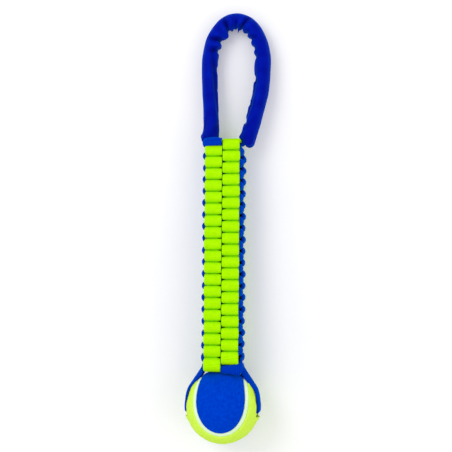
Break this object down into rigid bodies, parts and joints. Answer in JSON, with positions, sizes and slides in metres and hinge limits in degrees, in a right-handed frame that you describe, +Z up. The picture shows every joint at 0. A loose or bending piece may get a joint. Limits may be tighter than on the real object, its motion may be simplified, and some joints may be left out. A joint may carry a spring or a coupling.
{
  "type": "bungee tug toy",
  "caption": "Dog tug toy: a blue and lime felt ball in a webbing sling on a box-braided, stretching webbing body with a padded hand loop.",
  "frame": {"origin": "on the floor under the middle of the toy's bounding box, as it lies on its back", "axes": "+Y runs along the toy from the ball to the hand loop, +Z is up, off the floor, and +X is to the right as seen from above with the hand loop away from the viewer"},
  "size_m": [0.0746, 0.3768, 0.0639],
  "materials": {
    "lime_webbing": "matt nylon webbing",
    "blue_webbing": "matt nylon webbing",
    "blue_knit": "ribbed knit",
    "blue_felt": "felt",
    "lime_felt": "felt",
    "white_seam": "matt",
    "grey_rubber": "matt",
    "elastic": "matt",
    "foam": "matt foam",
    "thread": "sewing thread"
  },
  "bodies": {
    "braid": {"lime_strand_left": "lime_webbing", "lime_strand_right": "lime_webbing", "blue_strand_front": "blue_webbing", "blue_strand_back": "blue_webbing", "bungee_core": "elastic", "core_stitch_top": "thread", "neck_band": "blue_webbing", "neck_tack": "thread"},
    "handle": {"handle_sleeve": "blue_knit", "handle_pad_inner": "foam", "handle_pad_outer": "foam", "handle_webbing": "blue_webbing"},
    "braid_end": {"end_band": "blue_webbing", "end_tack": "thread", "core_stitch_bottom": "thread"},
    "ball_sling": {"ball_strap": "blue_webbing", "sling_stitch": "thread"},
    "ball": {"ball_core_front": "grey_rubber", "ball_core_back": "grey_rubber", "felt_panel_blue": "blue_felt", "felt_panel_lime": "lime_felt", "seam_bead": "white_seam"}
  },
  "joints": [
    {"name": "handle_fold", "type": "hinge", "parent": "braid", "child": "handle", "pos_m": [-0.0028, 0.08437, 0.01707], "axis": [1, 0, 0], "range_deg": [-60, 60], "deforming": ["handle_webbing"]},
    {"name": "bungee_stretch", "type": "slide", "parent": "braid", "child": "braid_end", "axis": [0, -0.9981, 0.0619], "range_m": [0, 0.06], "stiffness_N_per_m": 1500, "deforming": ["lime_strand_left", "lime_strand_right", "blue_strand_front", "blue_strand_back", "bungee_core"]},
    {"name": "ball_swing", "type": "hinge", "parent": "braid_end", "child": "ball_sling", "pos_m": [-0.0028, -0.12343, 0.02996], "axis": [0, 0.0619, 0.9981], "range_deg": [-12, 12], "deforming": ["ball_strap"]},
    {"name": "ball_rock", "type": "hinge", "parent": "ball_sling", "child": "ball", "pos_m": [-0.0028, -0.15637, 0.032], "axis": [1, 0, 0], "range_deg": [-15, 15], "stiffness_Nm_per_rad": 0.03, "deforming": ["ball_strap"]}
  ]
}
